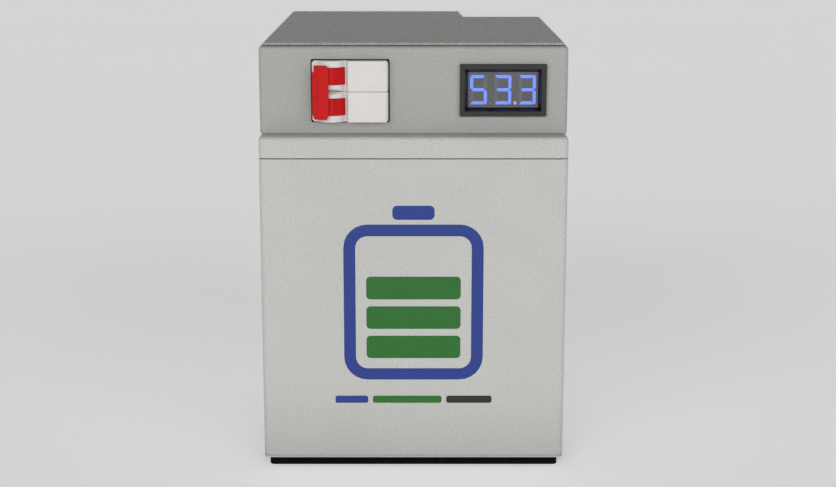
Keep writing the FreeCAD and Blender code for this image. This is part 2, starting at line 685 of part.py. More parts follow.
def toggle_tie_bar():
    """The bar that makes both toggles move together, with pockets for their levers."""
    body = new_body("tie_bar_body")
    PIECES.remove(body)
    section = polygon(sketch(body, height="tie_bottom"), [
        (f"axle_across - {across}", f"axle_along - {along}") for across, along in TIE_SECTION])
    pad(body, section, "tie_top - tie_bottom")
    nearest = value(f"axle_along - {TIE_SECTION[0][1]}")
    round_edges(body, "tie_radius", lambda edge: (level("tie_bottom")(edge)
                                                  or level("tie_top")(edge))
                and edge.BoundBox.YMin < nearest)
    left = f"(axle_across - {max(across for across, along in TIE_SECTION)})"
    right = f"(axle_across - {min(across for across, along in TIE_SECTION)})"
    corners = rectangle(sketch(body, "XZ_Plane", "-axle_along"), left, f"{left} + tie_step",
                        "tie_top - tie_step_height", "tie_top")
    for side, end, width, height in TIE_CLIPS:
        edge, inward = (left, "+") if side == "left" else (right, "-")
        polygon(corners, ((edge, end), (f"{edge} {inward} {width}", end),
                          (edge, f"{end} + {height}")))
    pocket(body, corners, "2*drum_radius", up=True)
    tie = cut("toggle_tie_bar", body, [lever(pole) for pole in POLES])
    piece(tie, "toggle_tie_bar")


def toggle_pin():
    body = new_body("toggle_pin")
    start = pole_floor("lower")
    end = f"{pole_floor('upper')} + pole_width"
    pad(body, circle(sketch(body, height=start), "axle_across", "axle_along", "axle_radius"),
        f"{end} - {start}")


def contact_arms():
    """The moving contacts, each with trunnions that turn in its pole's walls."""
    arms = []
    for pole in POLES:
        floor = pole_floor(pole)
        middle = f"{floor} + clamp_rise"
        tip_front = "arm_along + arm_half"
        hub = cylinder(f"hub_{pole}", ("arm_across", "arm_along", f"{floor} + pole_wall + hub_gap"),
                       "hub_radius", "pole_width - 2*pole_wall - 2*hub_gap")
        trunnions = cylinder(f"trunnions_{pole}",
                             ("arm_across", "arm_along", f"{floor} + 2*hub_gap"),
                             "trunnion_radius", "pole_width - 4*hub_gap")
        arm = box(f"arm_{pole}", ("arm_across", "arm_along - arm_half", f"{middle} - contact_half"),
                  ("arm_across + arm_reach", tip_front, f"{middle} + contact_half"))
        tip = box(f"tip_{pole}", ("arm_across + arm_reach - tip_length", tip_front,
                                  f"{middle} - tip_half"),
                  ("arm_across + arm_reach", f"{tip_front} + tip_rise", f"{middle} + tip_half"))
        arms.append(fuse(f"contact_arm_{pole}", [hub, trunnions, arm, tip]))
    piece(fuse("contact_arms", arms), "contact_arms")


def fixed_contacts():
    """Copper strips that the arms close against, led into the right-hand clamps."""
    body = new_body("fixed_contacts")
    for pole in POLES:
        front = "arm_along + arm_half + tip_rise + contact_gap"
        strip = rectangle(sketch(body, height=f"{pole_floor(pole)} + clamp_rise - contact_half"),
                          "arm_across + arm_reach - contact_overlap",
                          "breaker_across + pole_reach - contact_inset",
                          front, f"{front} + contact_gauge")
        pad(body, strip, "2*contact_half")


def arc_chutes():
    """Stacks of steel plates that split and cool the arc."""
    body = new_body("arc_chutes")
    for pole in POLES:
        plates = sketch(body, height=f"{pole_floor(pole)} + pole_wall + chute_gap")
        left = "arm_across + chute_start"
        for index in range(CHUTE_PLATES):
            front = f"arm_along + chute_along + {index}*chute_pitch"
            rectangle(plates, left, f"{left} + chute_length", front, f"{front} + chute_gauge")
        pad(body, plates, "pole_width - 2*pole_wall - 2*chute_gap")


def trip_coils():
    """A winding and its core in each pole."""
    coils = []
    for pole in POLES:
        start = ("breaker_across - coil_start", "clamp_along + coil_along",
                 f"{pole_floor(pole)} + clamp_rise + coil_rise")
        winding = cylinder(f"winding_{pole}", start, "coil_radius", "coil_length", "x")
        core = cylinder(f"core_{pole}", start, "core_radius", "core_length", "x")
        coils.append(fuse(f"trip_coil_{pole}", [winding, core]))
    piece(fuse("trip_coils", coils), "trip_coils")


def clamp_cages():
    """Steel cages that pinch the conductors at both ends of each pole."""
    body = new_body("clamp_cages")
    for pole in POLES:
        for side in (-1, 1):
            middle = f"(breaker_across + {side}*clamp_reach)"
            level_up = f"({pole_floor(pole)} + clamp_rise)"
            frame = sketch(body, "YZ_Plane", f"{middle} - cage_length/2")
            for size in ("cage_size", "cage_size - 2*cage_gauge"):
                centred(frame, "clamp_along", level_up, size, size)
            pad(body, frame, "cage_length")


def pole_link():
    """A copper link that puts the two poles in series at their left ends."""
    body = new_body("pole_link")
    low = f"({pole_floor('lower')} + clamp_rise)"
    high = f"({pole_floor('upper')} + clamp_rise)"
    left = "(breaker_across - pole_reach - link_out)"
    inner, end = f"{left} + link_gauge", f"{left} + link_length"
    half = "link_half"
    shape = sketch(body, "XZ_Plane", "link_half - clamp_along")
    polygon(shape, ((left, f"{low} - {half}"), (end, f"{low} - {half}"),
                    (end, f"{low} + {half}"), (inner, f"{low} + {half}"),
                    (inner, f"{high} - {half}"), (end, f"{high} - {half}"),
                    (end, f"{high} + {half}"), (left, f"{high} + {half}")))
    pad(body, shape, "2*link_half", down=True)


def din_rail():
    """A 35 mm top-hat rail, upright behind the poles."""
    body = new_body("din_rail")
    gauge, front, middle = "rail_gauge", "rail_front", "breaker_across"
    deep = "(rail_front + rail_depth)"
    section = sketch(body, height="breaker_height - rail_length/2")
    polygon(section, (
        (f"{middle} - rail_half", front), (f"{middle} - hat_half + {gauge}", front),
        (f"{middle} - hat_half + {gauge}", f"{deep} - {gauge}"),
        (f"{middle} + hat_half - {gauge}", f"{deep} - {gauge}"),
        (f"{middle} + hat_half - {gauge}", front), (f"{middle} + rail_half", front),
        (f"{middle} + rail_half", f"{front} + {gauge}"),
        (f"{middle} + hat_half", f"{front} + {gauge}"), (f"{middle} + hat_half", deep),
        (f"{middle} - hat_half", deep), (f"{middle} - hat_half", f"{front} + {gauge}"),
        (f"{middle} - rail_half", f"{front} + {gauge}")))
    pad(body, section, "rail_length")


def rail_bracket():
    """A steel angle, spot-welded to the lid, that holds the rail."""
    body = new_body("rail_bracket")
    front, top = "(rail_front + rail_depth)", "breaker_height + rail_length/2"
    back, foot = f"{front} + bracket_reach", "lid_top + bracket_gauge"
    angle = polygon(sketch(body, "YZ_Plane", "breaker_across - bracket_width/2"), (
        (front, "lid_top"), (back, "lid_top"), (back, foot),
        (f"{front} + bracket_gauge", foot), (f"{front} + bracket_gauge", top), (front, top)))
    pad(body, angle, "bracket_width")


# ---------------------------------------------------------------- voltmeter

def meter_bezel():
    """The snap-in frame, with a mouth that narrows to the display."""
    body = new_body("meter_bezel")
    middle, up = "meter_across", "meter_height"
    frame = centred(sketch(body, "XZ_Plane", f"-{HOUSING_FRONT}"), middle, up,
                    "bezel_width", "bezel_height")
    pad(body, frame, "bezel_proud")
    round_edges(body, "bezel_radius",
                lambda edge: edge.BoundBox.XLength + edge.BoundBox.ZLength < 0.01)
    face = value(BEZEL_FACE)
    round_edges(body, "bezel_edge", lambda edge: edge.BoundBox.YMax < face + 0.01)
    sleeve = centred(sketch(body, "XZ_Plane", f"-{HOUSING_FRONT}"), middle, up,
                     "body_width", "body_height")
    pad(body, sleeve, "body_depth", down=True)
    hollow = centred(sketch(body, "XZ_Plane", f"-{HOUSING_FRONT} - glass_seat"), middle, up,
                     "body_width - 2*body_wall", "body_height - 2*body_wall")
    pocket(body, hollow, "body_depth")
    window = centred(sketch(body, "XZ_Plane", f"-{BEZEL_FACE}"), middle, up,
                     "glass_width + glass_gap", "glass_height + glass_gap")
    pocket(body, window, "bezel_proud + glass_seat")
    mouth = centred(sketch(body, "XZ_Plane", f"-{BEZEL_FACE}"), middle, up,
                    "mouth_width", "mouth_height")
    slope = "-atan((mouth_width - glass_width - glass_gap)/2/glass_recess)"
    pocket(body, mouth, "glass_recess", taper=slope)


def meter_display():
    """The three-digit display block behind the mouth."""
    body = new_body("meter_display")
    front = centred(sketch(body, "XZ_Plane", f"-{GLASS_FACE}"), "meter_across", "meter_height",
                    "glass_width", "glass_height")
    pad(body, front, "display_depth", down=True)


def meter_board():
    """The circuit board behind the display, with two chips and the plug for its leads."""
    body = new_body("meter_board")
    back = f"({GLASS_FACE} + display_depth)"
    board = centred(sketch(body, "XZ_Plane", f"-{back}"), "meter_across", "meter_height",
                    "body_width - 2*body_wall - 2*glass_gap",
                    "body_height - 2*body_wall - 2*glass_gap")
    pad(body, board, "board_gauge", down=True)
    for parts, rise in ((METER_CHIPS, "chip_rise"), ((METER_PLUG,), "plug_rise")):
        outlines = sketch(body, "XZ_Plane", f"-{back} - board_gauge")
        for across, up, width, height in parts:
            centred(outlines, f"meter_across + {across}", f"meter_height + {up}", width, height)
        pad(body, outlines, rise, down=True)


# ---------------------------------------------------------------- output terminals

def terminal_tray():
    """The black moulding on the well's floor, with sleeves where the bars come through."""
    body = new_body("terminal_tray")
    front, rear = "well_front + tray_gap", f"{REAR} - sheet_gauge - 2*tray_gap"
    plate = rectangle(sketch(body, height="lid_top"), "well_left + sheet_gauge",
                      f"{SIDE} - sheet_gauge - tray_gap", front, rear)
    pad(body, plate, "tray_thickness")
    round_edges(body, "corner_radius", upright)
    middle = "(negative_across + positive_across)/2"
    wall = rectangle(sketch(body, height=TRAY_TOP), f"{middle} - divider_half",
                     f"{middle} + divider_half", front, rear)
    pad(body, wall, "bar_thickness + post_height")
    sleeves = sketch(body, height=f"{TRAY_TOP} - sleeve_wall")
    channels = sketch(body, height=BAR_TOP)
    sockets = sketch(body, height=TRAY_TOP)
    for across in OUTPUTS:
        for drawing, wider, longer in ((sleeves, "sleeve_wall", "0"), (channels, "0", "tray_gap")):
            rectangle(drawing, f"{across} - bar_width/2 - {wider}",
                      f"{across} + bar_width/2 + {wider}",
                      f"well_front - sleeve_reach - {longer}",
                      f"well_front + sleeve_reach + {longer}")
        circle(sockets, across, "post_along", "spigot_radius")
    pad(body, sleeves, "bar_thickness + 2*sleeve_wall")
    pocket(body, channels, "bar_thickness")
    pocket(body, sockets, "tray_thickness - tray_skin")


def terminal_post(name, across):
    """A brass post with a hexagon foot and a blind thread for the cable bolt."""
    body = new_body(name)
    corners = [(f"{across} + post_flat/cos(30 * 1 deg)*cos({60 * turn} * 1 deg)",
                f"post_along + post_flat/cos(30 * 1 deg)*sin({60 * turn} * 1 deg)")
               for turn in range(6)]
    pad(body, polygon(sketch(body, height=BAR_TOP), corners), "post_foot")
    pad(body, circle(sketch(body, height=BAR_TOP), across, "post_along", "post_radius"),
        "post_height")
    spigot = circle(sketch(body, height=BAR_TOP), across, "post_along", "spigot_radius")
    pad(body, spigot, "bar_thickness + tray_thickness - tray_skin", down=True)
    round_edges(body, "post_edge", level(POST_TOP))
    thread = circle(sketch(body, height=POST_TOP), across, "post_along", "stud_hole_radius")
    pocket(body, thread, "stud_hole_depth")


def terminal_bars():
    """Tinned copper bars from inside the housing to the posts."""
    body = new_body("terminal_bars")
    bars, holes = sketch(body, height=TRAY_TOP), sketch(body, height=BAR_TOP)
    for across in OUTPUTS:
        rectangle(bars, f"{across} - bar_width/2", f"{across} + bar_width/2",
                  "well_front - bar_inside", "post_along + bar_end")
        circle(holes, across, "post_along", "spigot_radius")
    pad(body, bars, "bar_thickness")
    pocket(body, holes, "bar_thickness")


# ---------------------------------------------------------------- cells

def row_along(row):
    return f"({row} - {(CELL_ROWS - 1) / 2})*cell_pitch"


def cell(number, side, row):
    """One aluminium-cased prismatic cell with two posts and a vent."""
    body = new_body(f"cell_{number:02d}")
    across, along = f"{side}*cell_column", row_along(row)
    can = centred(sketch(body, height=CELL_BOTTOM), across, along, "cell_width", "cell_thickness")
    pad(body, can, "cell_height")
    round_edges(body, "cell_radius", upright)
    top = f"({CELL_BOTTOM} + cell_height)"
    vent = centred(sketch(body, height=top), across, along, "vent_length", "vent_width")
    pocket(body, vent, "vent_depth")
    posts = sketch(body, height=top)
    for end in (-1, 1):
        circle(posts, f"{across} + {end}*cell_post", along, "cell_post_radius")
    pad(body, posts, "cell_post_height")


def pack_base_pad():
    body = new_body("pack_base_pad")
    half_width = "(cell_column + cell_width/2)"
    half_length = f"({CELL_ROWS}*cell_pitch/2)"
    pad(body, rectangle(sketch(body, height=CASE_FLOOR), f"-{half_width}", half_width,
                        f"-{half_length}", half_length), "pad_thickness")


def stack_end():
    """How far the stack of cells reaches along the pack from its middle."""
    return f"({row_along(CELL_ROWS - 1)} + cell_thickness/2)"


def end_plates():
    body = new_body("end_plates")
    half_width = "(cell_column + cell_width/2)"
    plates = sketch(body, height=CELL_BOTTOM)
    for front, rear in ((f"-{stack_end()} - end_plate", f"-{stack_end()}"),
                        (stack_end(), f"{stack_end()} + end_plate")):
        rectangle(plates, f"-{half_width}", half_width, front, rear)
    pad(body, plates, "cell_height - end_plate_drop")


def pack_straps():
    """Two steel bands round the stack and its end plates."""
    body = new_body("pack_straps")
    for fraction in (0.25, 0.75):
        band = sketch(body, height=f"{CELL_BOTTOM} + {fraction}*cell_height")
        for outward in ("0", "strap_gauge"):
            half_width = f"(cell_column + cell_width/2 + {outward})"
            half_length = f"({stack_end()} + end_plate + {outward})"
            rectangle(band, f"-{half_width}", half_width, f"-{half_length}", half_length)
        pad(body, band, "strap_width")


def busbars():
    """Welded bars that put the cells in series, up one column and down the other."""
    body = new_body("busbars")
    bars = sketch(body, height=BUSBAR_BOTTOM)
    for side in (-1, 1):
        for row in range(CELL_ROWS - 1):
            reach = 1 if row % 2 == 0 else -1
            across = f"{side}*(cell_column + {reach}*cell_post)"
            centred(bars, across, row_along(row + 0.5), "busbar_width",
                    "cell_pitch + busbar_overlap")
    pad(body, bars, "bar_thickness")
    bridge = centred(sketch(body, height=BUSBAR_BOTTOM), "0", row_along(CELL_ROWS - 1),
                     "2*(cell_column - cell_post) + busbar_overlap", "busbar_width")
    pad(body, bridge, "bar_thickness")


# ---------------------------------------------------------------- battery management board

def bms_heatsink():
    body = new_body("bms_heatsink")
    base = rectangle(sketch(body, height="lid_top"), "board_left", "board_right",
                     "board_front", "board_rear")
    pad(body, base, "heatsink_base")
    bosses = circles(sketch(body, height="lid_top"), board_screw_places(), "boss_radius")
    pad(body, bosses, "heatsink_rise")
    fins = sketch(body, height="lid_top + heatsink_base")
    for index in range(FIN_COUNT):
        left = f"board_left + fin_start + {index}*fin_pitch"
        rectangle(fins, left, f"{left} + fin_gauge", "board_front + fin_inset",
                  "board_rear - fin_inset")
    pad(body, fins, "heatsink_rise - heatsink_base - fin_gap")
    holes = circles(sketch(body, height=BOARD_BOTTOM), board_screw_places(), "board_screw")
    pocket(body, holes, "heatsink_rise")


def bms_board():
    """The circuit board with its transistors, shunts, sockets and cable pads."""
    body = new_body("bms_board")
    board = rectangle(sketch(body, height=BOARD_BOTTOM), "board_left", "board_right",
                      "board_front", "board_rear")
    pad(body, board, "board_gauge")
    low_parts = sketch(body, height=BOARD_TOP)
    for index in range(TRANSISTOR_COLUMNS):
        for line in TRANSISTOR_ROWS:
            centred(low_parts, f"board_left + transistor_start + {index}*transistor_pitch",
                    f"board_front + {line}", "transistor_width", "transistor_pitch")
    pad(body, low_parts, "transistor_rise")
    pads = sketch(body, height=BOARD_TOP)
    centred(pads, "board_right - solder_across", "board_front + solder_front", "solder_long",
            "solder_short")
    centred(pads, "board_right - solder_inset", "board_rear - solder_rear", "solder_short",
            "solder_long")
    pad(body, pads, "solder_rise")
    sockets = sketch(body, height=BOARD_TOP)
    for across, along, width, length in BOARD_SOCKETS:
        centred(sockets, f"board_left + {across}", f"board_front + {along}", width, length)
    pad(body, sockets, "socket_rise")
    holes = circles(sketch(body, height=BOARD_TOP), board_screw_places(), "board_screw")
    pocket(body, holes, "board_gauge")


def bms_screws():
    body = new_body("bms_screws")
    heads = circles(sketch(body, height=BOARD_TOP), board_screw_places(), "2*board_screw")
    pad(body, heads, "1.2*board_screw")
    shafts = circles(sketch(body, height=BOARD_TOP), board_screw_places(), "board_screw")
    pad(body, shafts, f"{BOARD_TOP} - {LID_UNDERSIDE} + board_screw/2", down=True)


# ---------------------------------------------------------------- power cables

def cable(name, route, lugs=()):
    """A round cable along straight runs joined by tangent arcs, with flat lugs on its ends."""
    points = [Vector(*(value(number) for number in point)) for point in route]
    runs = [end.sub(start) for start, end in zip(points, points[1:])]
    edges = []
    last = points[0]
    radii = []
    for index in range(1, len(points) - 1):
        before, after = runs[index - 1], runs[index]
        turn = before.getAngle(after)
        trim = 0.45 * min(before.Length, after.Length)
        radii.append(trim / math.tan(turn / 2))
        way_in, way_out = Vector(before).normalize(), Vector(after).normalize()
        start = points[index] - way_in * trim
        end = points[index] + way_out * trim
        inward = (way_out - way_in).normalize()
        centre = points[index] + inward * (radii[-1] / math.cos(turn / 2))
        middle = centre - inward * radii[-1]
        edges.append(Part.LineSegment(last, start).toShape())
        edges.append(Part.Arc(start, middle, end).toShape())
        last = end
    edges.append(Part.LineSegment(last, points[-1]).toShape())
    spine = Part.Wire(edges)
    radius = value("cable_radius")
    section = Part.Wire([Part.makeCircle(radius, points[0], runs[0])])
    tube = spine.makePipeShell([section], True, False)
    print(name, "radii", [round(bend, 1) for bend in radii],
          "volume ratio", round(tube.Volume / (math.pi * radius ** 2 * spine.Length), 4))
    solids = [tube] + [Part.makeBox(*(value(high) - value(low) for low, high in zip(*corners)),
                                    Vector(*(value(low) for low in corners[0])))
                       for corners in lugs]
    shape = solids[0].fuse(solids[1:]) if lugs else tube
    solid = doc.addObject("Part::Feature", name)
    solid.Shape = shape
    solid.Placement = Placement()
    piece(solid, name)


def lug(across, along):
    """The tongue on a cell's post and the crimped barrel that the cable leaves."""
    tongue = ((f"{across} - lug_half", f"{along} - lug_half", BUSBAR_BOTTOM),
              (f"{across} + lug_half", f"{along} + lug_front", f"{BUSBAR_BOTTOM} + bar_thickness"))
    barrel = ((f"{across} - barrel_half", f"{along} + barrel_half", BUSBAR_BOTTOM),
              (f"{across} + barrel_half", f"{along} + barrel_end",
               f"{CABLE_LEVEL} + cable_radius + barrel_wall"))
    return tongue, barrel


def cables():
    line = f"({pole_floor('upper')} + clamp_rise)"
    load = f"({pole_floor('lower')} + clamp_rise)"
    clamp = "breaker_across + pole_reach - 2.5"
    post = "(cell_column - cell_post)"
    first = row_along(0)
    under_lid = CABLE_LEVEL
    on_board = f"{BOARD_TOP} + solder_rise + cable_radius"
    cable("cable_battery_positive", (
        (clamp, "clamp_along", line), ("32", "clamp_along", line), ("32", "-48", line),
        ("-4", "-24", "212"), (f"-{post}", "-24", f"{under_lid} + 3"),
        (f"-{post}", "-60", under_lid), (f"-{post}", f"{first} + barrel_end", under_lid)),
        lugs=lug(f"-{post}", first))
    cable("cable_breaker_load", (
        (clamp, "clamp_along", load), ("32", "clamp_along", load), ("36", "-60", load),
        ("66", "-14", "214"), ("positive_across", "30", "212"),
        ("positive_across", "well_front - 12", f"{BAR_TOP} + cable_radius")))
    cable("cable_battery_negative", (
        (post, f"{first} + barrel_end", under_lid), (post, "-60", under_lid),
        (post, "-24", f"{under_lid} + 3"), ("8", "-14", "212"), ("-2", "4", "218"),
        ("board_right - solder_across", "board_front + solder_front", on_board)),
        lugs=lug(post, first))
    cable("cable_bms_output", (
        ("board_right - solder_inset", "board_rear - solder_rear + 2", on_board),
        ("board_right - solder_inset", "72", "219"), ("6", "50", "220"), ("24", "36", "215"),
        ("40", "40", "211"), ("negative_across", "well_front - 12", f"{BAR_TOP} + cable_radius")))


# ---------------------------------------------------------------- the whole pack

def build():
    base_mat()
    case_shell()
    lid_gasket()
    case_lid()
    lid_standoffs()
    module_housing()
    cover_gasket()
    module_cover()
    cover_screws()
    module_screws()
    for pole in POLES:
        pole_case(pole)
        pole_cover(pole)
        toggle(pole)
    toggle_tie_bar()
    toggle_pin()
    contact_arms()
    fixed_contacts()
    arc_chutes()
    trip_coils()
    clamp_cages()
    pole_link()
    din_rail()
    rail_bracket()
    meter_bezel()
    meter_display()
    meter_board()
    terminal_tray()
    terminal_post("terminal_positive", "positive_across")
    terminal_post("terminal_negative", "negative_across")
    terminal_bars()
    for number in range(2 * CELL_ROWS):
        cell(number + 1, (-1, 1)[number // CELL_ROWS], number % CELL_ROWS)
    pack_base_pad()
    end_plates()
    pack_straps()
    busbars()
    bms_heatsink()
    bms_board()
    bms_screws()
    cables()


def check():
    """Stops on any failed object or any missing or invalid shape."""
    doc.recompute()
    for item in doc.Objects:
        if "Invalid" in item.State or "Error" in item.State:
            raise RuntimeError(f"{item.Name} failed: {item.State}")
    for item in PIECES:
        if item.Shape.isNull() or not item.Shape.isValid() or not item.Shape.Solids:
            raise RuntimeError(f"{item.Label} has no valid shape")


build()
check()
os.makedirs("parts", exist_ok=True)
for item in PIECES:
    item.Shape.exportStep(f"parts/{item.Label}.step")
print(len(PIECES), "pieces")
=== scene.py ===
import json
import math

import bmesh
import bpy
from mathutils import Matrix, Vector


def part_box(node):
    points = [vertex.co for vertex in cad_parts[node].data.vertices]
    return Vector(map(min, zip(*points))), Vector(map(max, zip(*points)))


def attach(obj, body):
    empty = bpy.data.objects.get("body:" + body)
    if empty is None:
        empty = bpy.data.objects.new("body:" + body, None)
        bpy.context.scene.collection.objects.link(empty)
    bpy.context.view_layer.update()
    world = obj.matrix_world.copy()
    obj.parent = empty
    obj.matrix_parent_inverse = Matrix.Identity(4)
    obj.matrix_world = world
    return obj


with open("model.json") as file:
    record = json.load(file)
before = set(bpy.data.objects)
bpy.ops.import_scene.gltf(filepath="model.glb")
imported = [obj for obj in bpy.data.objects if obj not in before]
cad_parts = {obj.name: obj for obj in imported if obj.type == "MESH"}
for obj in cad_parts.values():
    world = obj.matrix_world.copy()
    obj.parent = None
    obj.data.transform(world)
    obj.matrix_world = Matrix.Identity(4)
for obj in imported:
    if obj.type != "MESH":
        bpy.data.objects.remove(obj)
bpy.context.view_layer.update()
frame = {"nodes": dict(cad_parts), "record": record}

MM = 0.001
NODES = frame["nodes"]

# ---------------------------------------------------------------- sizes, in metres

CASE_LOW, CASE_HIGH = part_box("case_shell")
GLASS_LOW, GLASS_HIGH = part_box("meter_display")
CASE_WIDTH = CASE_HIGH.x - CASE_LOW.x
CASE_HEIGHT = CASE_HIGH.z - CASE_LOW.z

# seven-segment display
DIGIT_WIDTH = 9.8 * MM
DIGIT_HEIGHT = 17.1 * MM
STROKE = 1.85 * MM
STROKE_GAP = 0.12 * MM
DIGIT_PITCH = 14.2 * MM
POINT_SIZE = 1.7 * MM
SEGMENT_RADIUS = 0.2 * MM
LIT_DEPTH = 0.05 * MM
READING = "53.3"
SEGMENTS_OF = {"5": "afgcd", "3": "abgcd"}

# printed mark on the front of the case
INK_DEPTH = 0.03 * MM
MARK_HEIGHT = 0.58 * CASE_HEIGHT
MARK_WIDTH = 0.78 * MARK_HEIGHT
MARK_LINE = 0.085 * MARK_WIDTH
RULE_LENGTH = 0.52 * CASE_WIDTH
RULE_HEIGHT = 4.5 * MM
# Heights up the case, as shares of it: the middle of the mark and the foot of the rule
MARK_MIDDLE = 0.56
RULE_FOOT = 0.19
# The rule's three parts: name, start and end as shares of its length, and ink
RULE_PARTS = (("rule_left", -0.5, -0.29, "mark_blue"),
              ("rule_middle", -0.26, 0.18, "mark_green"),
              ("rule_right", 0.21, 0.5, "mark_black"))
CHARGE_STEPS = 4
CHARGE_BARS = 3

# inlays round the terminals
RING_INNER = 10.6 * MM
RING_OUTER = 12.2 * MM
RING_HEIGHT = 0.6 * MM
RING_BEVEL = 0.15 * MM
RING_SIDES = 48

# camera and floor
LENS = 70.42
SENSOR_WIDTH = 36.0
SHIFT = (0.0054, 0.0211)
VIEWPOINT = (0, -1.067, 0.3396)
PITCH = 12.83
FLOOR_RADIUS = 14

# ---------------------------------------------------------------- light

# How bright the studio's surround is, by height from the horizon (0) to overhead (1)
SURROUND = ((0.0, 0.8), (0.05, 0.75), (0.1, 0.12), (0.17, 0.08), (0.27, 1.0), (0.45, 0.8),
            (0.7, 0.04))
SURROUND_STRENGTH = 0.8
FLOOR_GLOW = 0.34
SUN_ELEVATION = 9
SUN_SPREAD = 50
# Name, degrees to the right of straight in front, and strength
SUNS = (("front_left", -26, 1.3), ("front_right", 34, 0.98))

# ---------------------------------------------------------------- colours, as sRGB bytes

CASE_TONE = (193, 193, 190)
HOUSING_TONE = (167, 167, 164)
# The cover's grey is darker than the housing's as painted shade: its top gets little light from
# above.
COVER_SHADED_TONE = (154, 154, 151)
BREAKER_TONE = (220, 216, 214)
TOGGLE_TONE = (200, 3, 5)
BEZEL_TONE = (31, 33, 31)
# Inside the display's mouth: the bezel's black, darkened with painted shade of the recess.
RECESS_SHADE_TONE = (12, 12, 14)
GLASS_TONE = (88, 88, 92)
UNLIT_TONE = (102, 102, 107)
LIT_TONE = (112, 146, 255)
POINT_TONE = (166, 160, 240)
RUBBER_TONE = (6, 6, 6)
INK_BLUE = (20, 52, 134)
INK_GREEN = (24, 104, 24)
INK_BLACK = (26, 26, 28)
BRASS_TONE = (214, 190, 130)
COPPER_TONE = (196, 128, 92)
STEEL_TONE = (176, 178, 182)
ALUMINIUM_TONE = (190, 192, 196)
CIRCUIT_TONE = (20, 84, 44)
TRAY_TONE = (34, 34, 35)
CELL_TONE = (30, 76, 168)
FOAM_TONE = (48, 48, 50)
PLATE_TONE = (104, 104, 106)
CABLE_RED = (150, 18, 18)
CABLE_BLACK = (22, 22, 22)
FLOOR_TONE = (240, 240, 240)

# How the case's colour is darkened towards its foot as painted shade: heights in metres, and
# shares of its colour
PAINTED_FOOT_SHADE = ((0.0, 0.74), (0.021, 0.87), (0.04, 0.96), (0.06, 1.0))


def linear(tone):
    """A colour in linear light, with alpha, from sRGB bytes."""
    shares = [byte / 255 for byte in tone]
    return tuple(share / 12.92 if share <= 0.04045 else ((share + 0.055) / 1.055) ** 2.4
                 for share in shares) + (1.0,)


def shade(tone, factor):
    """The same colour, lighter or darker."""
    return tuple(min(255, byte * factor) for byte in tone)


# ---------------------------------------------------------------- material building

class Finish:
    """A Principled material that texture nodes are added to one at a time."""

    def __init__(self, name, roughness=0.5, metallic=0.0, coat=0.0, specular=0.5):
        self.material = bpy.data.materials.new(name)
        self.material.use_nodes = True
        self.tree = self.material.node_tree
        self.shader = self.tree.nodes["Principled BSDF"]
        self.shader.inputs["Roughness"].default_value = roughness
        self.shader.inputs["Metallic"].default_value = metallic
        self.shader.inputs["Coat Weight"].default_value = coat
        self.shader.inputs["Specular IOR Level"].default_value = specular
        self.coordinates = self.tree.nodes.new("ShaderNodeTexCoord").outputs["Object"]

    def stretched(self, scale):
        """The coordinates stretched along an axis, for streaks."""
        mapping = self.tree.nodes.new("ShaderNodeMapping")
        mapping.inputs["Scale"].default_value = scale
        self.tree.links.new(self.coordinates, mapping.inputs["Vector"])
        return mapping.outputs["Vector"]

    def noise(self, size, detail=2.0, vector=None):
        """Noise whose features are about that size, in metres."""
        node = self.tree.nodes.new("ShaderNodeTexNoise")
        node.inputs["Scale"].default_value = 1 / size
        node.inputs["Detail"].default_value = detail
        self.tree.links.new(vector or self.coordinates, node.inputs["Vector"])
        return node.outputs["Fac"]

    def ramp(self, factor, stops):
        """Turns a number into a colour through (place, colour) stops."""
        node = self.tree.nodes.new("ShaderNodeValToRGB")
        elements = node.color_ramp.elements
        while len(elements) < len(stops):
            elements.new(0.5)
        for element, (place, colour) in zip(elements, stops):
            element.position = place
            element.color = colour
        self.tree.links.new(factor, node.inputs["Fac"])
        return node.outputs["Color"]

    def shades(self, factor, tone, darkest, lightest, start=0.3, end=0.7):
        """Shades of one colour that follow a number, between two brightness factors."""
        return self.ramp(factor, ((start, linear(shade(tone, darkest))),
                                  (end, linear(shade(tone, lightest)))))

    def span(self, factor, low, high, start=0.3, end=0.7):
        """Stretches a range, or else the middle of a noise, to run between two numbers."""
        node = self.tree.nodes.new("ShaderNodeMapRange")
        node.inputs["From Min"].default_value = start
        node.inputs["From Max"].default_value = end
        node.inputs["To Min"].default_value = low
        node.inputs["To Max"].default_value = high
        self.tree.links.new(factor, node.inputs["Value"])
        return node.outputs["Result"]

    def mix(self, factor, first, second, blend="MIX"):
        """Mixes two colours; the factor is a number or a socket."""
        node = self.tree.nodes.new("ShaderNodeMix")
        node.data_type = "RGBA"
        node.blend_type = blend
        sockets = node.inputs[0], node.inputs[6], node.inputs[7]
        for socket, source in zip(sockets, (factor, first, second)):
            if isinstance(source, bpy.types.NodeSocket):
                self.tree.links.new(source, socket)
            else:
                socket.default_value = source
        return node.outputs[2]

    def painted_foot_shade(self, colour):
        """The colour, darkened a little towards the foot of the case, as painted shade for the
        weak bounce light near the floor.
        """
        axes = self.tree.nodes.new("ShaderNodeSeparateXYZ")
        self.tree.links.new(self.coordinates, axes.inputs["Vector"])
        top = PAINTED_FOOT_SHADE[-1][0]
        height = self.span(axes.outputs["Z"], 0.0, 1.0, 0.0, top)
        foot_shade_colour = self.ramp(height, [(up / top, (share, share, share, 1))
                                    for up, share in PAINTED_FOOT_SHADE])
        return self.mix(1.0, colour, foot_shade_colour, "MULTIPLY")

    def paint(self, colour):
        self.tree.links.new(colour, self.shader.inputs["Base Color"])

    def rough(self, number):
        self.tree.links.new(number, self.shader.inputs["Roughness"])

    def bump(self, height, depth):
        """Relief of that depth, in metres."""
        node = self.tree.nodes.new("ShaderNodeBump")
        node.inputs["Distance"].default_value = depth
        self.tree.links.new(height, node.inputs["Height"])
        self.tree.links.new(node.outputs["Normal"], self.shader.inputs["Normal"])
        return self


